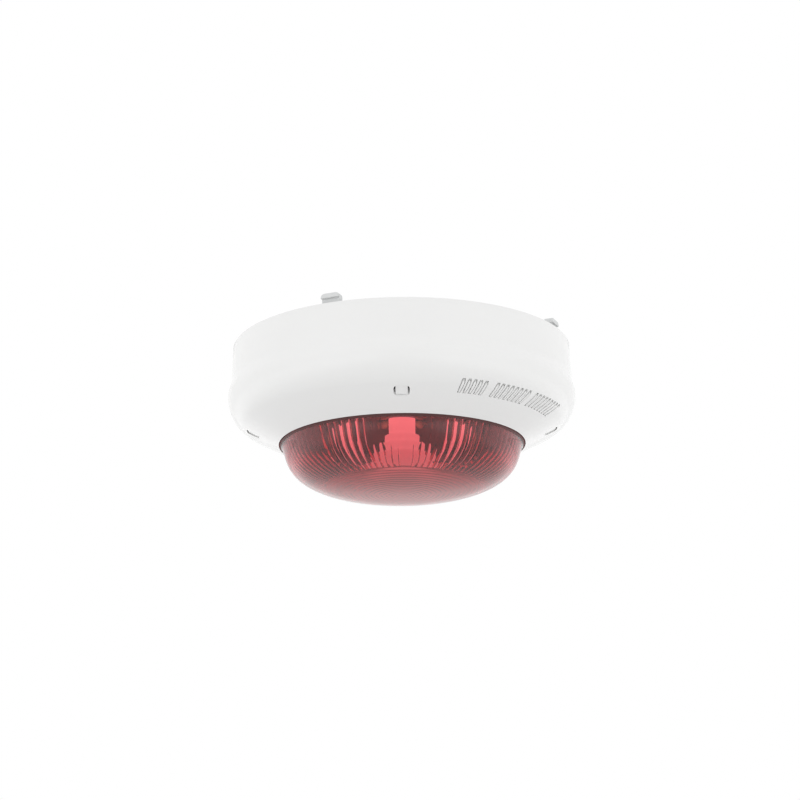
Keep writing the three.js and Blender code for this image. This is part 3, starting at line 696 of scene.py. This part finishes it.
def make_cone():
    """Stepped white cone, wider at each step down. The faces that look down get the dark metallised finish as
    painted shade for the hollow under the cone.
    """
    outline = [(0, CONE_TOP_Z)]
    corners = [0]
    for radius, z in CONE_STEPS:
        outline += [(radius, outline[-1][1]), (radius, z)]
        corners += [0.2, 0.2]
    outline.append((0, CONE_STEPS[-1][1]))
    corners.append(0)
    bm = bmesh.new()
    turned(bm, rounded(outline, corners, 2), 96)
    cone = finished("stepped_cone", bm, PAINTED_GLOW_CONE, ["light_cone"])
    cone.data.materials.append(FINISHES["mirror_coat"])
    # Painted shade: faces that look down are darkened for the hollow under the cone.
    for face in cone.data.polygons:
        if face.normal.z < -0.9:
            face.material_index = 1


def make_dish():
    """Metallised ceiling of the beacon: flat in the middle, then sloping down to a short skirt."""
    bm = bmesh.new()
    turned(bm, rounded(DISH, 0.5), ROUND_STEPS)
    finished("reflector_dish", bm, FINISHES["mirror_coat"], ["beacon_dish"])


def led_dome():
    """Half an ellipse, with its round root inside the package."""
    turns = [math.radians(angle) for angle in range(0, 90, 10)]
    start = LED_TOP_Z - 0.7
    side = [(LED_DOME_R * math.cos(turn), start - LED_DOME_RISE * math.sin(turn)) for turn in turns]
    return [(0, LED_TOP_Z - 0.5), (LED_DOME_R, LED_TOP_Z - 0.5), *side, (0, start - LED_DOME_RISE)]


def make_leds():
    """Square packages, each with a round silicone dome."""
    for i in range(4):
        bm = bmesh.new()
        prism(bm, rounded(rectangle(LED_WIDTH, LED_WIDTH), 0.3, 2), LED_TOP_Z - LED_THICKNESS, LED_TOP_Z)
        turned(bm, led_dome(), 24)
        bmesh.ops.transform(bm, matrix=at(45 + 90 * i, LED_R), verts=bm.verts)
        finished(f"domed_led_{i + 1}", bm, FINISHES["led_yellow"], [f"strobe_led_{i + 1}"])


# ---------------------------------------------------------------------------------------------------
# Rear chassis
# ---------------------------------------------------------------------------------------------------
PLATE_Z, PLATE_UNDER_Z = -2.2, -4.2
SKIRT_R, SKIRT_INNER_R = 56, 53.6
SEAT_R = 18
POST_R = 46.5
LUG_ANGLE = -23.7
LUG_WIDTH = 6.2
LUG_TOP_Z = 3.2
LUG_FOOT_Z = 2
# Share of half the width, and how far the top drops there.
LUG_ENDS = [(0.6, 0), (0.75, 0.06), (0.9, 0.3), (0.97, 0.65), (1, 1.1)]
SPOKE_ANGLES = [20, 75, 105, 128, 213, 255, 285, 340]
SPOKE_INNER_R, SPOKE_OUTER_R = 18.4, 48.6
SPOKE_HALF_WIDTH = 0.5
SPOKE_RISE = 0.7
# What is joined to the plate reaches this far into it.
OVERLAP = 0.5
BOARD_POST_ANGLES = [30, 115, 265]
BOARD_POST_R = 36.5
BOARD_POST_END_Z = -6.65
BOSS_RISE = 0.12
PLATE_CUT = (-6, 0.5)
SWITCH_Y = 31
ADDRESS_WINDOW = (25, 11)
TONE_WINDOW = (12.56, 8.2)
BLADE_SLOT = (4, 1.6)
BLADE_SLOT_R = 39


def chassis_outline():
    corners = [
        ((0, -2), 0), ((16, -2), 0.4), ((16, PLATE_UNDER_Z), 0.4), ((SKIRT_INNER_R, PLATE_UNDER_Z), 0.3),
        ((SKIRT_INNER_R, -10), 0.3), ((SKIRT_R, -10), 0.3), ((SKIRT_R, 0), 0.35), ((SKIRT_INNER_R, 0), 0.35),
        ((SKIRT_INNER_R, PLATE_Z), 0.4), ((49.5, PLATE_Z), 0.3), ((49.5, PLATE_Z + 0.5), 0.2),
        ((49, PLATE_Z + 0.5), 0.2), ((49, PLATE_Z), 0.3), ((SEAT_R + 0.6, PLATE_Z), 0.5), ((SEAT_R, 0), 0.35),
        ((14, 0), 0.2), ((13.6, -0.5), 0.2), ((5, -0.5), 0.2), ((4.6, 0), 0.2), ((0, 0), 0)]
    return rounded([point for point, _ in corners], [radius for _, radius in corners], 3)


def lug_rows(bm):
    """One bayonet lug on the front radius: an upright tab whose rounded top reaches outwards."""
    profile = [(53.8, -3), (SKIRT_R, -3), (SKIRT_R, 1.5), (57, 1.5), (57, LUG_TOP_Z), (53.8, LUG_TOP_Z)]
    profile = rounded(profile, [0, 0, 0.2, 0.25, 0.5, 0.4], 3)
    rise = LUG_TOP_Z - LUG_FOOT_Z
    left = [(-share, drop) for share, drop in reversed(LUG_ENDS)]
    rows = []
    for share, drop in [*left, (0, 0), *LUG_ENDS]:
        x = share * LUG_WIDTH / 2
        kept = (rise - drop) / rise
        heights = [z if z < LUG_FOOT_Z else LUG_FOOT_Z + (z - LUG_FOOT_Z) * kept for _, z in profile]
        rows.append(row_of(bm, [(x, -r, z) for (r, _), z in zip(profile, heights)]))
    join_all(bm, rows)
    bm.faces.new(rows[0])
    bm.faces.new(rows[-1])
    return [v for row in rows for v in row]


def make_chassis():
    """Plate with a skirt, to which lugs, spokes, board posts and screw bosses are joined."""
    bm = bmesh.new()
    turned(bm, chassis_outline(), ROUND_STEPS)
    chassis = finished("chassis_shell", bm, GREY, ["rear_chassis"])
    added = bmesh.new()
    for i in range(4):
        bmesh.ops.transform(added, matrix=around(LUG_ANGLE + 90 * i), verts=lug_rows(added))
    x, near, far = SPOKE_HALF_WIDTH, -SPOKE_INNER_R, -SPOKE_OUTER_R
    for angle in SPOKE_ANGLES:
        outline = [(-x, far), (x, far), (x, near), (-x, near)]
        prism(added, outline, PLATE_Z - OVERLAP, PLATE_Z + SPOKE_RISE, around(angle))
    for angle in BOARD_POST_ANGLES:
        post = circle(2.7, 32)
        prism(added, post, BOARD_POST_END_Z, PLATE_UNDER_Z + OVERLAP, at(angle, BOARD_POST_R))
    for i in range(4):
        boss = circle(4.6, 40)
        prism(added, boss, PLATE_Z - OVERLAP, PLATE_Z + BOSS_RISE, at(45 + 90 * i, POST_R))
    cut(chassis, added, "UNION")
    openings = bmesh.new()
    prism(openings, rounded(rectangle(*ADDRESS_WINDOW), 0.6), *PLATE_CUT, shift(0, SWITCH_Y, 0))
    prism(openings, rounded(rectangle(*TONE_WINDOW), 0.6), *PLATE_CUT, shift(0, -SWITCH_Y, 0))
    for i in range(4):
        prism(openings, rectangle(*BLADE_SLOT), *PLATE_CUT, at(60 + 90 * i, BLADE_SLOT_R))
        prism(openings, circle(1.7, 24), *PLATE_CUT, at(45 + 90 * i, POST_R))
    cut(chassis, openings)
    smooth(chassis, 35)


SCREW_SHANK = [(0, -11.2), (0.5, -10.8), (1.3, -9.6), (1.3, -2.05)]
SCREW_HEAD = [(2.7, -2.05), (2.9, -1.85), (2.86, -1.4), (2.6, -0.98), (2.1, -0.66), (1.3, -0.49), (0, -0.45)]
SCREW_CROSS = (3.4, 0.56)
SCREW_RECESS_Z = -1.3


def make_frame_screws():
    """Pan-head screws with a cross recess, head towards the ceiling."""
    for i in range(4):
        name = f"frame_screw_{i + 1}"
        bm = bmesh.new()
        turned(bm, [*SCREW_SHANK, *SCREW_HEAD], 40)
        place = at(45 + 90 * i, POST_R)
        bmesh.ops.transform(bm, matrix=place, verts=bm.verts)
        screw = finished(f"pan_{name}", bm, FINISHES["steel"], [name])
        for turn in (20, 110):
            recess = bmesh.new()
            bar = rounded(rectangle(*SCREW_CROSS), 0.2, 2)
            prism(recess, bar, SCREW_RECESS_Z, 0, place @ around(turn))
            cut(screw, recess)
        smooth(screw, 30)


# ---------------------------------------------------------------------------------------------------
# Contacts and switches
# ---------------------------------------------------------------------------------------------------
def make_small_parts():
    """Contact blades and switches with rounded edges. The sliders and dials ride on their own bodies."""
    for i in range(4):
        softened(f"soft_blade_{i + 1}", f"contact_blade_{i + 1}", FINISHES["brass"], 0.12)
    softened("soft_tone_switch", "tone_switch", FINISHES["switch_blue"], 0.15)
    for i in range(4):
        node = f"tone_slider_{i + 1}"
        softened(f"soft_{node}", node, FINISHES["switch_white"], 0.15, body=node)
    for digit in ("tens", "units"):
        node = f"address_switch_{digit}"
        softened(f"soft_{node}", node, FINISHES["black_plastic"], 0.15)
        node = f"address_dial_{digit}"
        softened(f"soft_{node}", node, FINISHES["switch_white"], 0.12, body=node)


# ---------------------------------------------------------------------------------------------------
# Everything together
# ---------------------------------------------------------------------------------------------------
make_camera()
make_surroundings()

WHITE = speckled("white_moulding", (0.81, 0.81, 0.805), 0.4, spread=0.012, bump=0.03, coat=1.0)
GREY = speckled("grey_moulding", (0.66, 0.67, 0.67), 0.5, spread=0.03, bump=0.04)
# The cone's material carries a painted glow.
PAINTED_GLOW_CONE = cone_white()
LENS = lens_red("lens_clear", (0.76, 0.12, 0.14), 0.02, 0.06)
FROSTED = lens_red("lens_frosted", (0.92, 0.22, 0.24), 0.3, 0.38, clarity=0.65)
FINISHES = {
    "white_plastic": WHITE,
    "grey_plastic": GREY,
    "red_lens": LENS,
    "cone_white": PAINTED_GLOW_CONE,
    "gasket_rubber": speckled("gasket_rubber", (0.03, 0.012, 0.015), 0.7),
    # Dark red-brown used as painted shade at the lens's root.
    "lens_root_painted_shade": speckled("lens_root_painted_shade", (0.085, 0.02, 0.02), 0.5),
    "black_plastic": speckled("black_moulding", (0.03, 0.03, 0.033), 0.5),
    "brass": speckled("spring_brass", (0.70, 0.53, 0.26), 0.3, metallic=1.0),
    "ceramic": speckled("fired_ceramic", (0.66, 0.63, 0.56), 0.55),
    # The dish's own dark metallised finish, also used as painted shade under the cone.
    "mirror_coat": speckled("dark_metallised_and_painted_shade", (0.14, 0.135, 0.14), 0.3, spread=0.03, metallic=0.5),
    "board_black": speckled("black_solder_mask", (0.02, 0.02, 0.022), 0.4, coat=0.3),
    "board_green": speckled("green_solder_mask", (0.02, 0.14, 0.06), 0.4, coat=0.3),
    "steel": speckled("zinc_plate", (0.62, 0.62, 0.64), 0.32, metallic=1.0),
    "ribbon": speckled("ribbon_sheath", (0.35, 0.36, 0.38), 0.55),
    "switch_white": speckled("switch_white", (0.78, 0.78, 0.75), 0.45),
    "switch_blue": speckled("switch_blue", (0.02, 0.08, 0.32), 0.45),
    "ferrite": speckled("ferrite", (0.04, 0.04, 0.042), 0.6),
    "copper": speckled("copper_winding", (0.60, 0.24, 0.11), 0.35, metallic=1.0),
    "can_aluminium": speckled("can_aluminium", (0.66, 0.67, 0.69), 0.3, metallic=1.0),
    "led_yellow": speckled("led_phosphor", (0.42, 0.37, 0.20), 0.3, coat=0.4),
}
for row in frame["record"]["subparts"]:
    node_mesh = NODES[row["node"]].data
    node_mesh.materials.clear()
    node_mesh.materials.append(FINISHES[row["material_slot"]])

make_cover()
make_ribs()
make_lens()
make_cone()
make_dish()
make_leds()
make_chassis()
make_frame_screws()
make_small_parts()
